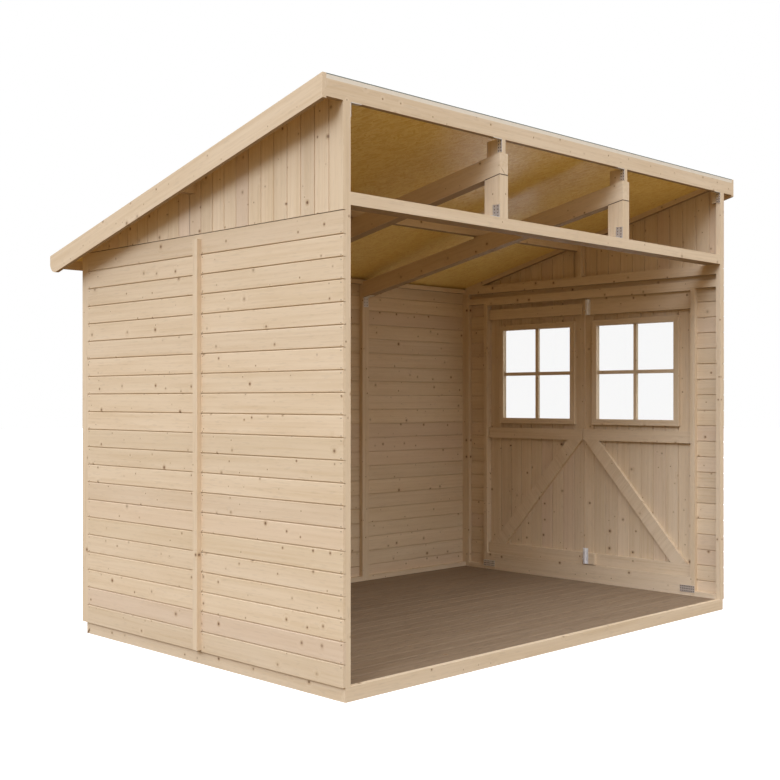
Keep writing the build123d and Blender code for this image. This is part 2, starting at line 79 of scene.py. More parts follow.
class Shading:
    """A node tree and short calls that add and join its nodes."""

    def __init__(self, tree):
        self.tree = tree

    def add(self, kind, settings=None, **inputs):
        """A node of that kind. A value or a socket goes to each named input, and to the
        third input, for example, under the name _2."""
        node = self.tree.nodes.new("ShaderNode" + kind)
        for key, value in (settings or {}).items():
            setattr(node, key, value)
        for key, value in inputs.items():
            socket = node.inputs[int(key[1:])] if key[1:].isdigit() else node.inputs[key]
            self.feed(socket, value)
        return node

    def feed(self, socket, value):
        """Joins a socket to an input, or sets the input's value."""
        if isinstance(value, bpy.types.NodeSocket):
            self.tree.links.new(value, socket)
        else:
            socket.default_value = value

    def math(self, operation, a, b=0.0, c=0.0):
        return self.add("Math", {"operation": operation}, _0=a, _1=b, _2=c).outputs[0]

    def vector(self, operation, a, b):
        return self.add("VectorMath", {"operation": operation}, _0=a, _1=b).outputs[0]

    def scaled(self, color, factor):
        """A colour times a number."""
        return self.add("VectorMath", {"operation": "SCALE"}, _0=color, _3=factor).outputs[0]

    def noise(self, place, scale, detail, roughness):
        node = self.add("TexNoise", Vector=place, Scale=scale, Detail=detail,
                        Roughness=roughness)
        return node.outputs["Fac"]

    def ramp(self, value, low, high):
        """Maps low..high of a value to 0..1, smoothly and clamped."""
        node = self.add("MapRange", {"interpolation_type": "SMOOTHSTEP"}, Value=value,
                        _1=low, _2=high)
        return node.outputs[0]

    def mix(self, share, a, b):
        """A colour between a and b."""
        return self.add("Mix", {"data_type": "RGBA"}, _0=share, _6=a, _7=b).outputs[2]

    def object_place(self):
        return self.add("TexCoord").outputs["Object"]

    def facing_up(self):
        """The upward part of the surface's direction, in the object's own space."""
        normal = self.add("TexCoord").outputs["Normal"]
        return self.add("SeparateXYZ", Vector=normal).outputs[2]


class Material(Shading):
    """A material with one Principled surface."""

    def __init__(self, name):
        self.material = bpy.data.materials.new(name)
        self.material.use_nodes = True
        super().__init__(self.material.node_tree)
        self.surface = self.tree.nodes["Principled BSDF"]
        self.output = self.tree.nodes["Material Output"].inputs["Surface"]

    def set(self, name, value):
        self.surface.inputs[name].default_value = value

    def finish(self, color, roughness, bump=None, bump_depth=0.0):
        self.feed(self.surface.inputs["Base Color"], color)
        self.feed(self.surface.inputs["Roughness"], roughness)
        if bump is not None:
            node = self.add("Bump", Height=bump, Distance=bump_depth, Strength=1.0)
            self.feed(self.surface.inputs["Normal"], node.outputs[0])
        return self.material


# Softwood. Each pair of scales is across and along the grain.
KNOT_CELLS = 10.0
KNOT_SHARE = 0.62
KNOT_LEAST = 0.022
KNOT_SPREAD = 0.055
KNOT_POWER = 2.5
FAINTEST_KNOT = 0.3
RINGS = (75.0, 1.1)
RING_BEND = 1.6
BANDS = (16.0, 1.6)
FIBRES = (420.0, 11.0)
DASHES = (130.0, 16.0)
DASH_SHADE = 0.45
CLOUDS = 2.2
BOARD_SHIFT = 37.0
BOARD_TONES = 0.10
YELLOW_SHARE = 0.4
PINK_SHARE = 0.35
KNOT_RIM = (0.42, 0.25, 0.115, 1.0)
KNOT_HEART = (0.13, 0.06, 0.025, 1.0)
PINKER = (0.66, 0.485, 0.36, 1.0)
YELLOWER = (0.73, 0.56, 0.33, 1.0)
# Colour of the painted shade on faces that look down
UNDERSIDE_SHADE = (0.20, 0.11, 0.045, 1.0)
UNDERSIDE_SHADE_SHARE = 0.7
TIMBER_SPECULAR = 0.3
GRAIN_DEPTH = 0.00015


def along_grain(s, place, grain, scales):
    """A place scaled differently across and along the grain."""
    stretch = [scales[0]] * 3
    stretch[grain] = scales[1]
    return s.vector("MULTIPLY", place, tuple(stretch))


def pine(name, grain, pale, dark, tilt=0.0, knots=1.0, dashes=0.12, hues=1.0):
    """Softwood whose grain runs along an axis, turned by tilt about X. Knots, dashes and
    hues say how many or how strong they are."""
    s = Material(name)
    place = s.object_place()
    if tilt:
        place = s.add("Mapping", Vector=place, Rotation=(tilt, 0.0, 0.0)).outputs[0]
    board = s.add("Attribute", {"attribute_name": "board"}).outputs["Fac"]
    place = s.vector("ADD", place, s.math("MULTIPLY", board, BOARD_SHIFT))
    axes = s.add("SeparateXYZ", Vector=place).outputs
    along = axes[grain]
    across = s.math("ADD", axes[(grain + 1) % 3], axes[(grain + 2) % 3])

    # Knots: round marks at random places, some left out, most of them small
    flat_place = s.add("CombineXYZ", X=along, Y=across).outputs[0]
    cell = s.add("TexVoronoi", {"voronoi_dimensions": "2D"}, Vector=flat_place,
                 Scale=KNOT_CELLS)
    chance = s.add("SeparateColor", Color=cell.outputs["Color"]).outputs
    size = s.math("MULTIPLY_ADD", s.math("POWER", chance[1], KNOT_POWER), KNOT_SPREAD,
                  KNOT_LEAST)
    near = s.math("DIVIDE", cell.outputs["Distance"], size)
    shown = s.math("LESS_THAN", chance[0], KNOT_SHARE * knots)
    strength = s.math("MULTIPLY", shown, s.math("MULTIPLY_ADD", chance[2],
                                                1.0 - FAINTEST_KNOT, FAINTEST_KNOT))
    heart = s.math("MULTIPLY", s.ramp(near, 1.25, 0.5), strength)
    rim = s.math("MULTIPLY", s.ramp(near, 2.6, 1.0), strength)
    bend = s.math("MULTIPLY", s.ramp(near, 6.0, 0.6), shown)

    # Grain: narrow rings that bend round the knots, broad soft bands and fine fibres
    ring_place = s.vector("ADD", along_grain(s, place, grain, RINGS),
                          s.math("MULTIPLY", bend, RING_BEND))
    rings = s.noise(ring_place, 1.0, 3.0, 0.6)
    bands = s.noise(along_grain(s, place, grain, BANDS), 1.0, 3.0, 0.55)
    fibres = s.noise(along_grain(s, place, grain, FIBRES), 1.0, 2.0, 0.6)
    tone = s.math("MULTIPLY", s.ramp(rings, 0.36, 0.74), 0.45)
    tone = s.math("MULTIPLY_ADD", s.ramp(bands, 0.35, 0.75), 0.35, tone)
    tone = s.math("MULTIPLY_ADD", fibres, 0.25, tone)
    color = s.mix(tone, pale, dark)

    # Short dark dashes along the grain
    dash = s.noise(along_grain(s, place, grain, DASHES), 1.0, 1.0, 0.5)
    dash = s.math("MULTIPLY", s.ramp(dash, 0.56, 0.72), dashes)
    color = s.mix(dash, color, s.scaled(color, DASH_SHADE))

    # Each board is a little lighter, darker, pinker or yellower than the next
    chances = s.add("TexWhiteNoise", {"noise_dimensions": "1D"}, W=board).outputs
    light = s.math("MULTIPLY_ADD", chances["Value"], BOARD_TONES, 1.0 - BOARD_TONES / 2)
    color = s.scaled(color, light)
    hue = s.add("SeparateColor", Color=chances["Color"]).outputs
    clouds = s.noise(place, CLOUDS, 2.0, 0.5)
    yellow = s.math("MULTIPLY", s.math("MULTIPLY", hue[1], clouds), YELLOW_SHARE * hues)
    color = s.mix(yellow, color, YELLOWER)
    pink = s.math("MULTIPLY", s.ramp(hue[2], 0.6, 1.0), PINK_SHARE * hues)
    color = s.mix(pink, color, PINKER)
    color = s.mix(s.math("MULTIPLY", rim, 0.55), color, KNOT_RIM)
    color = s.mix(s.math("MULTIPLY", heart, 0.95), color, KNOT_HEART)

    # Painted shade: faces that look down have a darker brown colour, as they look in the photo
    under = s.math("MULTIPLY", s.ramp(s.facing_up(), -0.75, -0.95), UNDERSIDE_SHADE_SHARE)
    color = s.mix(under, color, UNDERSIDE_SHADE)
    rough = s.math("MULTIPLY_ADD", rings, 0.2, 0.50)
    bump = s.math("MULTIPLY_ADD", rings, 0.6, fibres)
    s.set("Specular IOR Level", TIMBER_SPECULAR)
    return s.finish(color, rough, bump, GRAIN_DEPTH)


PALE = (0.765, 0.607, 0.412, 1.0)
DARK = (0.640, 0.474, 0.282, 1.0)
DECK_PALE = (0.285, 0.198, 0.118, 1.0)
DECK_DARK = (0.205, 0.134, 0.074, 1.0)
ROOF_SLOPE = math.radians(14.0)
RAFTER_SLOPE = math.radians(11.0)
BRACE_SLOPE = math.radians(48.0)
pine_x = pine("pine_x", X, PALE, DARK)
pine_y = pine("pine_y", Y, PALE, DARK)
pine_z = pine("pine_z", Z, PALE, DARK)
deck_pine = pine("deck_pine", X, DECK_PALE, DECK_DARK, knots=0.5, dashes=0.5, hues=0.0)


STRAND = (0.030, 0.010, 0.050)
STRAND_LAYERS = 5
STRAND_TURN = 1.25
STRAND_SHARE = 0.5
STRAND_GROUND = (0.92, 0.67, 0.20, 1.0)
STRAND_PALE = (0.96, 0.75, 0.27, 1.0)
STRAND_DARK = (0.80, 0.54, 0.12, 1.0)
STRAND_FIBRE = (0.50, 0.29, 0.05, 1.0)
CUT_EDGE = (0.80, 0.71, 0.55, 1.0)
STRAND_SPECULAR = 0.7
STRAND_DEPTH = 0.00025


def strand_board():
    """Pressed board of flat strands lying at all angles, with a shiny face. The cut
    edges are pale."""
    s = Material("strand_board")
    place = s.object_place()
    color = STRAND_GROUND
    height = 0.0
    for layer in range(STRAND_LAYERS):
        turned = s.add("Mapping", {"vector_type": "TEXTURE"}, Vector=place,
                       Scale=STRAND, Location=(0.31 * layer, 0.17 * layer, 0.0),
                       Rotation=(0.0, 0.0, STRAND_TURN * layer + 0.2))
        cell = s.add("TexVoronoi", Vector=turned.outputs[0], Scale=1.0)
        chance = s.add("SeparateColor", Color=cell.outputs["Color"]).outputs
        tint = s.mix(chance[1], STRAND_PALE, STRAND_DARK)
        shown = s.math("LESS_THAN", chance[0], STRAND_SHARE)
        color = s.mix(shown, color, tint)
        height = s.math("MULTIPLY_ADD", chance[2], shown, height)
    fibres = s.noise(place, 240.0, 3.0, 0.6)
    color = s.mix(s.math("MULTIPLY", fibres, 0.15), color, STRAND_FIBRE)
    edge = s.ramp(s.math("ABSOLUTE", s.facing_up()), 0.7, 0.4)
    color = s.mix(edge, color, CUT_EDGE)
    rough = s.math("MULTIPLY_ADD", fibres, 0.12, 0.26)
    s.set("Specular IOR Level", STRAND_SPECULAR)
    return s.finish(color, rough, height, STRAND_DEPTH)


FELT_DARK = (0.10, 0.115, 0.09, 1.0)
FELT_PALE = (0.24, 0.26, 0.21, 1.0)
FELT_CLOUD = (0.17, 0.185, 0.15, 1.0)
GRIT_DEPTH = 0.0006


def mineral_felt():
    """Grey-green roofing felt with a fine mineral face."""
    s = Material("mineral_felt")
    place = s.object_place()
    grit = s.noise(place, 900.0, 2.0, 0.7)
    cloud = s.noise(place, 3.0, 4.0, 0.5)
    color = s.mix(s.ramp(grit, 0.35, 0.65), FELT_DARK, FELT_PALE)
    color = s.mix(s.math("MULTIPLY", cloud, 0.3), color, FELT_CLOUD)
    return s.finish(color, 0.9, grit, GRIT_DEPTH)


def zinc(name, metallic, dull, bright):
    """Zinc-plated steel with a faint mottle."""
    s = Material(name)
    mottle = s.noise(s.object_place(), 160.0, 3.0, 0.6)
    color = s.mix(mottle, dull, bright)
    s.set("Metallic", metallic)
    return s.finish(color, s.math("MULTIPLY_ADD", mottle, 0.2, 0.25), mottle, 0.00005)


def nail_head_and_shade():
    """Dull brown steel of the sunk heads of nails. The painted shade at the bottoms of holes and
    along the rafter joints has it too.
    """
    s = Material("nail_head_and_shade")
    mottle = s.noise(s.object_place(), 400.0, 2.0, 0.5)
    color = s.mix(mottle, (0.10, 0.062, 0.035, 1.0), (0.17, 0.11, 0.065, 1.0))
    s.set("Metallic", 0.3)
    return s.finish(color, s.math("MULTIPLY_ADD", mottle, 0.2, 0.5))


def clear_glass():
    """Thin clear window glass that sunlight goes straight through."""
    s = Material("clear_glass")
    waver = s.noise(s.object_place(), 2.0, 1.0, 0.5)
    s.set("Transmission Weight", 1.0)
    s.set("IOR", 1.45)
    s.finish(s.mix(waver, (0.99, 1.0, 1.0, 1.0), (1.0, 1.0, 1.0, 1.0)), 0.0)
    through = s.add("BsdfTransparent", Color=(0.96, 0.97, 0.97, 1.0))
    shadow = s.add("LightPath").outputs["Is Shadow Ray"]
    share = s.add("MixShader", _0=shadow, _1=s.surface.outputs[0], _2=through.outputs[0])
    s.feed(s.output, share.outputs[0])
    return s.material


osb = strand_board()
felt = mineral_felt()
steel = zinc("zinc", 0.3, (0.84, 0.82, 0.79, 1.0), (0.96, 0.94, 0.91, 1.0))
plate_steel = zinc("plate_zinc", 0.7, (0.70, 0.66, 0.59, 1.0), (0.90, 0.86, 0.79, 1.0))
nail_and_shade = nail_head_and_shade()
glass = clear_glass()


def paint(material, *names):
    """Gives CAD nodes a material."""
    for name in names:
        mesh = nodes[name].data
        mesh.materials.clear()
        mesh.materials.append(material)


TIMBER_EDGE = 0.0015
METAL_EDGE = 0.0005
SHARP = math.radians(40.0)


def soften(width, *objects):
    """Rounds the sharp edges a little, as planed timber and pressed metal are."""
    for piece in objects:
        bevel = piece.modifiers.new("softened_edges", "BEVEL")
        bevel.width = width
        bevel.segments = 2
        bevel.limit_method = "ANGLE"
        bevel.angle_limit = SHARP


TIMBERS = {
    pine_x: ("base_long_rims", "mid_rail", "eaves_beams", "middle_purlin",
             "rear_wall_rails"),
    pine_y: ("base_end_rims", "base_joists", "left_wall_rails", "door_wall_rails",
             "door_sill", "gable_rails", "door_head_casing", "bolt_block",
             "front_door_ledges", "rear_door_ledges"),
    pine_z: ("front_corner_posts", "short_posts", "rafter_blocks", "left_wall_studs",
             "door_wall_studs", "rear_wall_studs", "gable_studs", "wall_battens",
             "corner_trims", "door_side_casings"),
    pine("pine_roof", Y, PALE, DARK, ROOF_SLOPE): ("verge_boards", "gable_sloped_rails"),
    pine("pine_rafters", Y, PALE, DARK, RAFTER_SLOPE): ("rafters",),
    pine("pine_front_brace", Y, PALE, DARK, BRACE_SLOPE): ("front_door_brace",),
    pine("pine_rear_brace", Y, PALE, DARK, -BRACE_SLOPE): ("rear_door_brace",),
}
for material, names in TIMBERS.items():
    paint(material, *names)
    soften(TIMBER_EDGE, *[nodes[name] for name in names])
paint(osb, "roof_sheathing")
paint(felt, "roof_felt")
for leaf in ("front", "rear"):
    paint(glass, f"{leaf}_door_glass")
    paint(steel, f"{leaf}_door_hinges", f"{leaf}_hinge_plates")
    soften(METAL_EDGE, nodes[f"{leaf}_door_hinges"], nodes[f"{leaf}_hinge_plates"])


# Pieces made of meshes

def add_piece(name, bm, materials, body, slot, *replaced):
    """Turns a bmesh into a piece that rides on a body."""
    bmesh.ops.recalc_face_normals(bm, faces=bm.faces)
    mesh = bpy.data.meshes.new(name)
    bm.to_mesh(mesh)
    bm.free()
    for material in materials:
        mesh.materials.append(material)
    piece = bpy.data.objects.new(name, mesh)
    bpy.context.scene.collection.objects.link(piece)
    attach(piece, body)
    if replaced:
        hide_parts(*replaced)
    return piece


def prism(bm, lower, upper):
    """A closed body between two outlines with as many points."""
    rings = [[bm.verts.new(place) for place in ring] for ring in (lower, upper)]
    made = [bm.faces.new(rings[0]), bm.faces.new(list(reversed(rings[1])))]
    count = len(lower)
    for i in range(count):
        j = (i + 1) % count
        made.append(bm.faces.new((rings[0][j], rings[0][i], rings[1][i], rings[1][j])))
    return made


def block(bm, low, high):
    """A box between two corners."""
    base = [(low[X], low[Y]), (high[X], low[Y]), (high[X], high[Y]), (low[X], high[Y])]
    return prism(bm, [(x, y, low[Z]) for x, y in base], [(x, y, high[Z]) for x, y in base])


# Boards. Each sheet of the model becomes a row of tongued-and-grooved boards.

CHAMFER = 0.0022
SLOT_HALF = 0.0019
DECK_SLOT_HALF = 0.0002
SLOT_DEPTH = 0.0056
END_GAP = 0.0004
LEAST_BOARD = 0.001
JOINT_CLEAR = 0.004
dice = random.Random(7)


def board_outline(a0, a1, d0, d1, first, last, slot_half):
    """Section of a board from a0 to a1 across and d0 to d1 through its thickness, with
    grooved edges where it meets its neighbours."""
    way = 1.0 if d1 > d0 else -1.0
    c, q, h = CHAMFER * way, SLOT_DEPTH * way, slot_half
    start = [(a0, d0)]
    if not first:
        start = [(a0, d0 + q), (a0 + h, d0 + q), (a0 + h, d0 + c), (a0 + h + CHAMFER, d0)]
    end = [(a1, d0)]
    if not last:
        end = [(a1 - h - CHAMFER, d0), (a1 - h, d0 + c), (a1 - h, d0 + q), (a1, d0 + q)]
    front = start + end
    return front + [(a, d0 + d1 - d) for a, d in reversed(front)]


def level_joints(low, high, start, pitch):
    """Joints between low and high, one at start and one every pitch from it."""
    first = math.ceil((low - start) / pitch)
    count = int((high - low) / pitch) + 2
    places = [start + (first + i) * pitch for i in range(count)]
    return [place for place in places if low + JOINT_CLEAR < place < high - JOINT_CLEAR]


def level(value):
    """A board's end that is square to it."""
    return lambda a: value


def board_row(low, high, bottom, top, joints, holes=()):
    """Boards across from low to high, with a joint at each place in joints, each along
    from bottom(a) to top(a). A hole is (a0, a1, b0, b1)."""
    edges = [low] + sorted(joints) + [high]
    boards = []
    for a0, a1 in zip(edges, edges[1:]):
        number = dice.random()
        cuts = {a0, a1}
        for h0, h1, _, _ in holes:
            cuts.update(place for place in (h0, h1) if a0 < place < a1)
        cuts = sorted(cuts)
        for c0, c1 in zip(cuts, cuts[1:]):
            middle = (c0 + c1) / 2
            spans = [(bottom, top)]
            for h0, h1, b0, b1 in holes:
                if h0 < middle < h1:
                    spans = [(bottom, level(b0)), (level(b1), top)]
            first, last = c0 != a0 or a0 == low, c1 != a1 or a1 == high
            for start, end in spans:
                if end(middle) - start(middle) > LEAST_BOARD:
                    boards.append((c0, c1, start, end, first, last, number))
    return boards


def planks(name, boards, axes, thickness, material, body, node, slot="board_wood",
           slot_half=SLOT_HALF):
    """A piece made of boards: axes are along, across and through them. Each board's
    number goes into its faces, for the material."""
    along, across, through = axes
    bm = bmesh.new()
    mark = bm.faces.layers.float.new("board")
    for a0, a1, bottom, top, first, last, number in boards:
        outline = board_outline(a0, a1, *thickness, first, last, slot_half)
        rings = []
        for end in (bottom, top):
            ring = []
            for a, d in outline:
                place = [0.0, 0.0, 0.0]
                place[along], place[across], place[through] = end(a), a, d
                ring.append(place)
            rings.append(ring)
        for face in prism(bm, *rings):
            face[mark] = number
    return add_piece(name, bm, [material], body, slot, node)


WALL_PITCH = 0.090
FIRST_WALL_JOINT = 0.0016
GABLE_PITCH = 0.0875
DECK_PITCH = 0.090
wall_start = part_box("base_long_rims")[1][Z] + FIRST_WALL_JOINT


def wall_boards(ends, bottom, top):
    """Level wall boards between two ends along the wall."""
    joints = level_joints(bottom, top, wall_start, WALL_PITCH)
    return board_row(bottom, top, level(ends[0]), level(ends[1]), joints)


left_low, left_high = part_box("left_wall_boards")
left_faces = (left_low[X], left_high[X])
planks("left_wall_planks",
       wall_boards((left_low[Y], left_high[Y]), left_low[Z], left_high[Z]),
       (Y, Z, X), left_faces, pine_y, "shed", "left_wall_boards")

rear_low, rear_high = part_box("rear_wall_boards")
planks("rear_wall_planks",
       wall_boards((rear_low[X], rear_high[X]), rear_low[Z], rear_high[Z]),
       (X, Z, Y), (rear_high[Y], rear_low[Y]), pine_x, "shed", "rear_wall_boards")

# The right wall: beside the doorway, and below and above it
STOP_HEIGHT = 0.011
side_low, side_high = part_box("door_side_boards")
sill_low, sill_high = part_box("door_sill")
cross_low, cross_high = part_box("door_cross_boards")
sill_top = sill_high[Z] - STOP_HEIGHT
right_faces = (side_high[X], side_low[X])
beside = (wall_boards((side_low[Y], sill_low[Y]), side_low[Z], side_high[Z])
          + wall_boards((sill_high[Y], side_high[Y]), side_low[Z], side_high[Z]))
planks("door_side_planks", beside, (Y, Z, X), right_faces, pine_y, "shed",
       "door_side_boards")
across = (wall_boards((sill_low[Y], sill_high[Y]), cross_low[Z], sill_top)
          + wall_boards((cross_low[Y], cross_high[Y]), side_high[Z], cross_high[Z]))
planks("door_cross_planks", across, (Y, Z, X), right_faces, pine_y, "shed",
       "door_cross_boards")

# The gables: upright boards cut off under the sloping roof, with notches for the front
# beam and the purlin
BEAM_THICKNESS = 0.028
GABLE_GAP = 0.0035
ABOVE_ROOF = 9.0
gable_low, gable_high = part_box("gable_boards")
purlin_low, purlin_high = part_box("middle_purlin")
post_low, post_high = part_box("front_corner_posts")


def under_roof(y):
    """Height of the roof's underside at a place between front and rear."""
    return rear_high[Z] + math.tan(ROOF_SLOPE) * (rear_low[Y] - y) - END_GAP


notches = ((gable_low[Y], post_low[Y] + BEAM_THICKNESS, post_high[Z], ABOVE_ROOF),
           (purlin_low[Y], purlin_high[Y], purlin_low[Z], ABOVE_ROOF))
for side, faces in (("left", left_faces), ("right", right_faces)):
    joints = level_joints(gable_low[Y], gable_high[Y], gable_low[Y], GABLE_PITCH)
    upright = board_row(gable_low[Y], gable_high[Y], level(gable_low[Z] + GABLE_GAP),
                        under_roof, joints, notches)
    planks(f"{side}_gable_planks", upright, (Z, Y, X), faces, pine_z, "shed",
           "gable_boards")

deck_low, deck_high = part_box("floor_deck")
joints = level_joints(deck_low[Y], deck_high[Y], deck_low[Y], DECK_PITCH)
deck = board_row(deck_low[Y], deck_high[Y], level(deck_low[X]), level(deck_high[X]), joints)
planks("floor_planks", deck, (X, Y, Z), (deck_high[Z], deck_low[Z]), deck_pine, "shed",
       "floor_deck", "deck_wood", DECK_SLOT_HALF)


# Door leaves: upright boards round the window, a mitred trim on each face of the window
# and two crossing bars on each side of the glass

LEAF_PITCH = 0.0863
FRONT_LEAF_FIRST = 0.0147
REAR_LEAF_BOARDS = 9
BAR_WIDTH = 0.022
INNER_BAR = 0.010
OUTER_BAR = 0.008
REBATE = 0.010
TRIM_WIDTH = 0.036


def mitred_frame(bm, outer, inner, faces):
    """Four mitred bars between two rectangles (y0, y1, z0, z1). The level bars take the
    second material."""
    (a0, a1, b0, b1), (c0, c1, d0, d1) = outer, inner
    bars = (
        ([(a0, b0), (a1, b0), (c1, d0), (c0, d0)], 1),
        ([(a1, b0), (a1, b1), (c1, d1), (c1, d0)], 0),
        ([(a1, b1), (a0, b1), (c0, d1), (c1, d1)], 1),
        ([(a0, b1), (a0, b0), (c0, d0), (c0, d1)], 0),
    )
    for outline, index in bars:
        ends = [[(x, y, z) for y, z in outline] for x in faces]
        for face in prism(bm, *ends):
            face.material_index = index


def crossing_bars(bm, opening, x0, x1):
    """An upright bar and two level halves beside it. The level ones take the second
    material."""
    y0, y1, z0, z1 = opening
    y_middle, z_middle = (y0 + y1) / 2, (z0 + z1) / 2
    half = BAR_WIDTH / 2
    for face in block(bm, (x0, y_middle - half, z0), (x1, y_middle + half, z1)):
        face.material_index = 0
    for near, far in ((y0, y_middle - half), (y_middle + half, y1)):
        for face in block(bm, (x0, near, z_middle - half), (x1, far, z_middle + half)):
            face.material_index = 1


for leaf in ("front", "rear"):
    body = f"{leaf}_leaf"
    leaf_low, leaf_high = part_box(f"{leaf}_door_boards")
    pane_low, pane_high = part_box(f"{leaf}_door_glass")
    trim_low, trim_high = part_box(f"{leaf}_door_window_trim")
    hole = (trim_low[Y] + TRIM_WIDTH - REBATE, trim_high[Y] - TRIM_WIDTH + REBATE,
            trim_low[Z] + TRIM_WIDTH - REBATE, trim_high[Z] - TRIM_WIDTH + REBATE)
    start = leaf_low[Y] + FRONT_LEAF_FIRST
    if leaf == "rear":
        start = leaf_high[Y] - LEAF_PITCH * REAR_LEAF_BOARDS
    joints = level_joints(leaf_low[Y], leaf_high[Y], start, LEAF_PITCH)
    upright = board_row(leaf_low[Y], leaf_high[Y], level(leaf_low[Z]), level(leaf_high[Z]),
                        joints, (hole,))
    planks(f"{leaf}_leaf_planks", upright, (Z, Y, X), (leaf_high[X], leaf_low[X]), pine_z,
           body, f"{leaf}_door_boards")

    opening = (hole[0] + REBATE, hole[1] - REBATE, hole[2] + REBATE, hole[3] - REBATE)
    trim_edge = (trim_low[Y], trim_high[Y], trim_low[Z], trim_high[Z])
    bm = bmesh.new()
    mitred_frame(bm, trim_edge, opening, (trim_low[X], leaf_low[X]))
    mitred_frame(bm, hole, opening, (pane_high[X], leaf_high[X]))
    trim = add_piece(f"{leaf}_leaf_window_trim", bm, [pine_z, pine_y], body, "board_wood",
                     f"{leaf}_door_window_trim")
    soften(TIMBER_EDGE, trim)

    bm = bmesh.new()
    crossing_bars(bm, opening, pane_low[X] - INNER_BAR, pane_low[X])
    crossing_bars(bm, opening, pane_high[X], pane_high[X] + OUTER_BAR)
    bars = add_piece(f"{leaf}_leaf_window_bars", bm, [pine_z, pine_y], body, "board_wood")
    soften(TIMBER_EDGE, bars)


# Metal: perforated plates, bolts and the heads of nails and screws

METAL = 0.0025
HOLE_POINTS = 12
HOLE_SHADE_DEPTH = 0.1


def perforated(bm, corner, along, across, size, cells, hole_radius, thickness):
    """A plate from a corner, size[0] along one way and size[1] across the other, with a round
    hole in the middle of each cell and a dark bottom in the hole, which is painted shade. Its
    thickness is a vector."""
    along, across, thickness = Vector(along), Vector(across), Vector(thickness)
    corner = Vector(corner)
    cell_u, cell_v = size[0] / cells[0], size[1] / cells[1]
    for i in range(cells[0]):
        for j in range(cells[1]):
            centre = corner + along * (i + 0.5) * cell_u + across * (j + 0.5) * cell_v
            hole, rim = [], []
            for k in range(HOLE_POINTS):
                angle = 2 * math.pi * (k + 0.5) / HOLE_POINTS
                u, v = math.cos(angle), math.sin(angle)
                hole.append(centre + along * u * hole_radius + across * v * hole_radius)
                reach = 0.5 / max(abs(u), abs(v))
                rim.append(centre + along * u * reach * cell_u + across * v * reach * cell_v)
            for k in range(HOLE_POINTS):
                m = (k + 1) % HOLE_POINTS
                quad = (hole[k], rim[k], rim[m], hole[m])
                prism(bm, quad, [place + thickness for place in quad])
            # Painted shade: a thin dark disc at the bottom of each hole
            bottom = [place + thickness * HOLE_SHADE_DEPTH for place in hole]
            for face in prism(bm, hole, bottom):
                face.material_index = 1


def disc(bm, centre, axis, radius, height, points, top=1.0):
    """A short round body standing on centre along an axis, narrower at its top."""
    axis = Vector(axis).normalized()
    side = axis.orthogonal().normalized()
    other = axis.cross(side)
    rings = []
    for lift, wide in ((0.0, 1.0), (height, top)):
        ring = []
        for k in range(points):
            angle = 2 * math.pi * k / points
            away = side * math.cos(angle) + other * math.sin(angle)
            ring.append(Vector(centre) + axis * lift + away * radius * wide)
        rings.append(ring)
    return prism(bm, *rings)


BRACKET_LEG = 0.060
POST_BRACKET = 0.040
BEAM_BRACKET = 0.026
BRACKET_CELLS = (4, 2)
REAR_CELLS = (2, 3)
HOLE_RADIUS = 0.0036
STUD = 0.028
SHORT_WIDTH = 0.058
BLOCK_WIDTH = 0.024
mid_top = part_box("mid_rail")[1][Z]
short_low, short_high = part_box("short_posts")
front_y = post_low[Y]
beam_under = post_high[Z]
rafter_xs = (short_low[X] + SHORT_WIDTH / 2, short_high[X] - SHORT_WIDTH / 2)


def angle_bracket(bm, corner, width, x_way, z_way):
    """An angle with one perforated leg along X and one along Z, set back from a corner."""
    perforated(bm, corner, (x_way, 0, 0), (0, 1, 0), (BRACKET_LEG, width), BRACKET_CELLS,
               HOLE_RADIUS, (0, 0, z_way * METAL))
    perforated(bm, corner, (0, 0, z_way), (0, 1, 0), (BRACKET_LEG, width), BRACKET_CELLS,
               HOLE_RADIUS, (x_way * METAL, 0, 0))


bm = bmesh.new()
angle_bracket(bm, (post_low[X] + STUD, front_y, beam_under), BEAM_BRACKET, 1, -1)
angle_bracket(bm, (post_high[X] - STUD, front_y, beam_under), BEAM_BRACKET, -1, -1)
for x in rafter_xs:
    angle_bracket(bm, (x - SHORT_WIDTH / 2, front_y, mid_top), POST_BRACKET, -1, 1)
    angle_bracket(bm, (x - BLOCK_WIDTH / 2, front_y, beam_under), BEAM_BRACKET, -1, -1)
rear_studs_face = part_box("rear_wall_studs")[0][Y]
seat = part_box("angle_brackets")[0][Z] + BRACKET_LEG
leg_way = Vector((0.0, -1.0, math.tan(RAFTER_SLOPE))).normalized()
for x in rafter_xs:
    corner = (x - POST_BRACKET / 2, rear_studs_face, seat)
    perforated(bm, corner, (1, 0, 0), (0, 0, -1), (POST_BRACKET, BRACKET_LEG), REAR_CELLS,
               HOLE_RADIUS, (0, -METAL, 0))
    perforated(bm, corner, (1, 0, 0), leg_way, (POST_BRACKET, BRACKET_LEG), REAR_CELLS,
               HOLE_RADIUS, (0, 0, -METAL))
add_piece("perforated_brackets", bm, [plate_steel, nail_and_shade], "shed", "zinc", "angle_brackets")

STRAP_LENGTH = 0.097
STRAP_CELLS = (8, 3)
STRAP_HOLE = 0.0034
strap_low, strap_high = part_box("post_straps")
strap_size = (STRAP_LENGTH, strap_high[Z] - strap_low[Z])
bm = bmesh.new()
for y in (strap_low[Y], strap_high[Y] - STRAP_LENGTH):
    perforated(bm, (strap_low[X], y, strap_low[Z]), (0, 1, 0), (0, 0, 1), strap_size,
               STRAP_CELLS, STRAP_HOLE, (METAL, 0, 0))
add_piece("perforated_straps", bm, [plate_steel, nail_and_shade], "shed", "zinc", "post_straps")
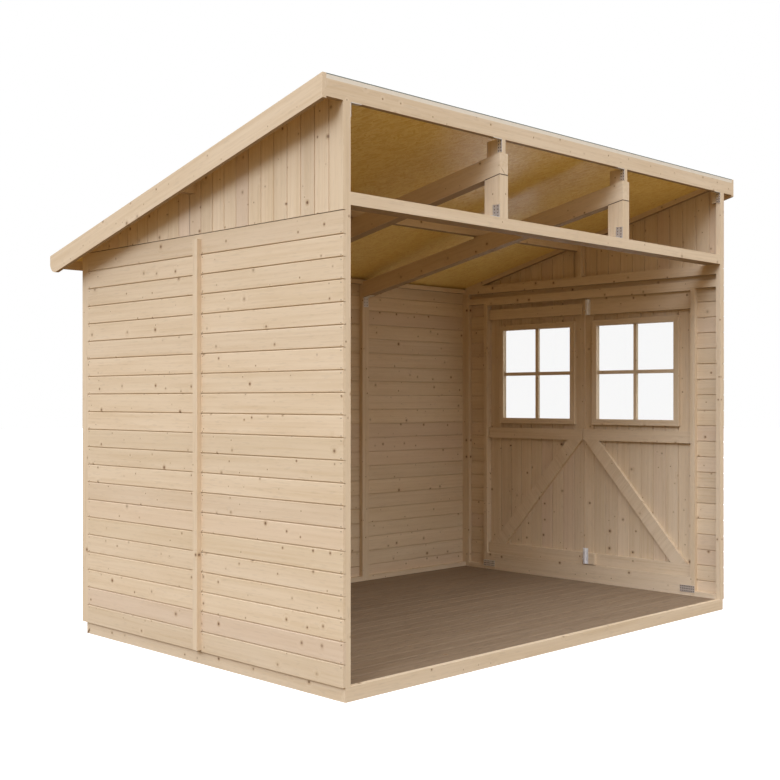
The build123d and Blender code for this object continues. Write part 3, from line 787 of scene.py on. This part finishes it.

# Painted shade: a thin dark strip along the joint between each short post and the rafter on it,
# where a gap would be in shade
JOINT_HALF = 0.0022
PROUD = 0.0004
short_top, short_back = short_high[Z], short_high[Y]
back_top = short_top - math.tan(RAFTER_SLOPE) * (short_back - front_y)
bm = bmesh.new()
for x in rafter_xs:
    left_side, right_side = x - SHORT_WIDTH / 2, x + SHORT_WIDTH / 2
    outline = [(front_y, short_top - JOINT_HALF), (front_y, short_top + JOINT_HALF),
               (short_back, back_top + JOINT_HALF), (short_back, back_top - JOINT_HALF)]
    for face_x, way in ((left_side, -1), (right_side, 1)):
        prism(bm, [(face_x, y, z) for y, z in outline],
              [(face_x + way * PROUD, y, z) for y, z in outline])
    block(bm, (left_side, front_y - PROUD, short_top - JOINT_HALF),
          (right_side, front_y, short_top + JOINT_HALF))
add_piece("rafter_joint_shade", bm, [nail_and_shade], "shed", "frame_wood")

# Tower bolts: a plate, three guides, the round bolt, its knob and four screws
BOLT_LENGTH = 0.100
BOLT_PLATE = 0.002
ROD_RADIUS = 0.0045
ROD_END = 0.001
GUIDE_RADIUS = 0.006
GUIDE_HALF = 0.008
GUIDES = (0.12, 0.5, 0.88)
KNOB_PLACE = 0.31
KNOB_START = 0.003
KNOB_HEIGHT = 0.014
BOLT_SCREWS = (0.08, 0.92)
BOLT_SCREW_SIDE = 0.014
BOLT_SCREW_RADIUS = 0.0034
BOLT_SCREW_HEIGHT = 0.0014
bolts_low, bolts_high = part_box("tower_bolts")
bolt_middle = (bolts_low[Y] + bolts_high[Y]) / 2
plate_half = (bolts_high[Y] - bolts_low[Y]) / 2
upper_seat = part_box("front_door_ledges")[0][X]
lower_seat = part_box("bolt_block")[0][X]
bm = bmesh.new()
for seat_x, bottom in ((upper_seat, bolts_high[Z] - BOLT_LENGTH), (lower_seat, bolts_low[Z])):
    plate_x = seat_x - BOLT_PLATE
    block(bm, (plate_x, bolt_middle - plate_half, bottom),
          (seat_x, bolt_middle + plate_half, bottom + BOLT_LENGTH))
    rod_x = plate_x - GUIDE_RADIUS
    disc(bm, (rod_x, bolt_middle, bottom + ROD_END), (0, 0, 1), ROD_RADIUS,
         BOLT_LENGTH - 2 * ROD_END, 16)
    for share in GUIDES:
        middle = bottom + share * BOLT_LENGTH
        disc(bm, (rod_x, bolt_middle, middle - GUIDE_HALF), (0, 0, 1), GUIDE_RADIUS,
             2 * GUIDE_HALF, 16)
        block(bm, (rod_x, bolt_middle - GUIDE_RADIUS, middle - GUIDE_HALF),
              (plate_x, bolt_middle + GUIDE_RADIUS, middle + GUIDE_HALF))
    knob_z = bottom + KNOB_PLACE * BOLT_LENGTH
    disc(bm, (rod_x, bolt_middle + KNOB_START, knob_z), (0, 1, 0), ROD_RADIUS, KNOB_HEIGHT,
         12)
    for y_way in (-1, 1):
        screw_y = bolt_middle + y_way * BOLT_SCREW_SIDE
        for share in BOLT_SCREWS:
            disc(bm, (plate_x, screw_y, bottom + share * BOLT_LENGTH), (-1, 0, 0),
                 BOLT_SCREW_RADIUS, BOLT_SCREW_HEIGHT, 10, 0.6)
bolts = add_piece("tower_bolt_set", bm, [steel], "front_leaf", "zinc", "tower_bolts")
soften(METAL_EDGE, bolts)

# Screws on the hinges' straps and plates, outside
SCREW_RADIUS = 0.0042
SCREW_HEIGHT = 0.0012
SCREW_TOP = 0.55
STRAP_SCREWS = (0.045, 0.120, 0.195, 0.262)
PLATE_SCREWS = (-0.042, 0.0, 0.042)
PLATE_SCREW_RUN = 0.027
HALF_PLATE = 0.055
MIDDLE_LEDGE = 0.786
HALF_LEDGE = 0.035
pins = {joint["name"]: joint["pos_m"] for joint in frame["joints"]}
for leaf, way in (("front", 1), ("rear", -1)):
    leaf_low, leaf_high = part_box(f"{leaf}_door_boards")
    plate_low, plate_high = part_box(f"{leaf}_hinge_plates")
    pin_y = pins[f"{leaf}_leaf_hinge"][Y]
    metal_face = leaf_high[X] + METAL
    levels = (plate_low[Z] + HALF_PLATE, leaf_low[Z] + MIDDLE_LEDGE + HALF_LEDGE,
              plate_high[Z] - HALF_PLATE)
    strap_bm, plate_bm = bmesh.new(), bmesh.new()
    for z in levels:
        for run in STRAP_SCREWS:
            disc(strap_bm, (metal_face, pin_y + way * run, z), (1, 0, 0), SCREW_RADIUS,
                 SCREW_HEIGHT, 12, SCREW_TOP)
        for rise in PLATE_SCREWS:
            disc(plate_bm, (metal_face, pin_y - way * PLATE_SCREW_RUN, z + rise),
                 (1, 0, 0), SCREW_RADIUS, SCREW_HEIGHT, 12, SCREW_TOP)
    add_piece(f"{leaf}_strap_screws", strap_bm, [steel], f"{leaf}_leaf", "zinc")
    add_piece(f"{leaf}_plate_screws", plate_bm, [steel], "shed", "zinc")

# Nails of the left wall: one above and one below each joint of its boards, at both ends
# and beside the batten
NAIL_RADIUS = 0.0022
NAIL_HEIGHT = 0.0003
NAIL_INSET = 0.013
NAIL_RISES = (0.008, -0.012)
PANEL_WIDTH = 0.975
BESIDE_BATTEN = 0.026
nail_ys = (left_low[Y] + NAIL_INSET, left_low[Y] + PANEL_WIDTH - BESIDE_BATTEN,
           left_high[Y] - NAIL_INSET)
bm = bmesh.new()
for joint in level_joints(left_low[Z], left_high[Z], wall_start, WALL_PITCH):
    for y in nail_ys:
        for rise in NAIL_RISES:
            disc(bm, (left_low[X], y, joint + rise), (-1, 0, 0), NAIL_RADIUS,
                 NAIL_HEIGHT, 8)
add_piece("left_wall_nails", bm, [nail_and_shade], "shed", "zinc")


# Floor, backdrop and light

WHITE = (1.0, 1.0, 1.0, 1.0)
FLOOR_SEEN = (0.86, 0.86, 0.86, 1.0)
FLOOR_BOUNCE = (0.24, 0.165, 0.085, 1.0)
FLOOR_GLOW = 0.45
FLOOR_HALF = 40.0
LOW_SKY = (0.06, 0.04, 0.02, 1.0)
HIGH_SKY = (1.48, 1.50, 1.60, 1.0)
SKY_FROM, SKY_TO = -0.05, 0.6
SUN_TINT = (1.0, 1.14, 1.45)
KEY_STRENGTH = 1.10
KEY_WAY = (1.0, 0.30, -0.67)
FRONT_STRENGTH = 0.55
FRONT_WAY = (0.25, 1.0, -1.4)
SUN_SPREAD = math.radians(26.0)


def seen_rays(s):
    """1 for the rays from the camera and through glass, and 0 for all others."""
    path = s.add("LightPath").outputs
    return s.math("MAXIMUM", path["Is Camera Ray"], path["Is Transmission Ray"])


def studio_floor():
    """A floor that looks white but keeps soft shadows, and throws little light back."""
    s = Material("studio_floor")
    seen = seen_rays(s)
    s.feed(s.surface.inputs["Base Color"], s.mix(seen, FLOOR_BOUNCE, FLOOR_SEEN))
    s.set("Roughness", 1.0)
    s.set("Specular IOR Level", 0.0)
    glow = s.add("Emission", Color=WHITE, Strength=FLOOR_GLOW)
    both = s.add("AddShader", _0=s.surface.outputs[0], _1=glow.outputs[0])
    share = s.add("MixShader", _0=seen, _1=s.surface.outputs[0], _2=both.outputs[0])
    s.feed(s.output, share.outputs[0])
    return s.material


bm = bmesh.new()
corners = [(-1, -1), (1, -1), (1, 1), (-1, 1)]
bm.faces.new([bm.verts.new((x * FLOOR_HALF, y * FLOOR_HALF, 0.0)) for x, y in corners])
floor_mesh = bpy.data.meshes.new("studio_floor")
bm.to_mesh(floor_mesh)
bm.free()
floor_mesh.materials.append(studio_floor())
floor = bpy.data.objects.new("studio_floor", floor_mesh)
bpy.context.scene.collection.objects.link(floor)

# The sky: white where it is seen, and otherwise brighter from low to high
world = bpy.data.worlds.new("studio")
world.use_nodes = True
bpy.context.scene.world = world
sky = Shading(world.node_tree)
way_up = sky.add("SeparateXYZ", Vector=sky.add("TexCoord").outputs["Generated"]).outputs[2]
tint = sky.mix(sky.ramp(way_up, SKY_FROM, SKY_TO), LOW_SKY, HIGH_SKY)
lit_sky = sky.add("Background", Color=tint, Strength=1.0)
seen_sky = sky.add("Background", Color=WHITE, Strength=1.0)
share = sky.add("MixShader", _0=seen_rays(sky), _1=lit_sky.outputs[0],
                _2=seen_sky.outputs[0])
sky.feed(sky.tree.nodes["World Output"].inputs["Surface"], share.outputs[0])


def soft_sun(name, way, strength):
    """A broad, distant light that shines along a direction."""
    data = bpy.data.lights.new(name, "SUN")
    data.energy = strength
    data.color = SUN_TINT
    data.angle = SUN_SPREAD
    sun = bpy.data.objects.new(name, data)
    sun.rotation_euler = Vector(way).to_track_quat("-Z", "Y").to_euler()
    bpy.context.scene.collection.objects.link(sun)


soft_sun("key_light", KEY_WAY, KEY_STRENGTH)
soft_sun("front_light", FRONT_WAY, FRONT_STRENGTH)
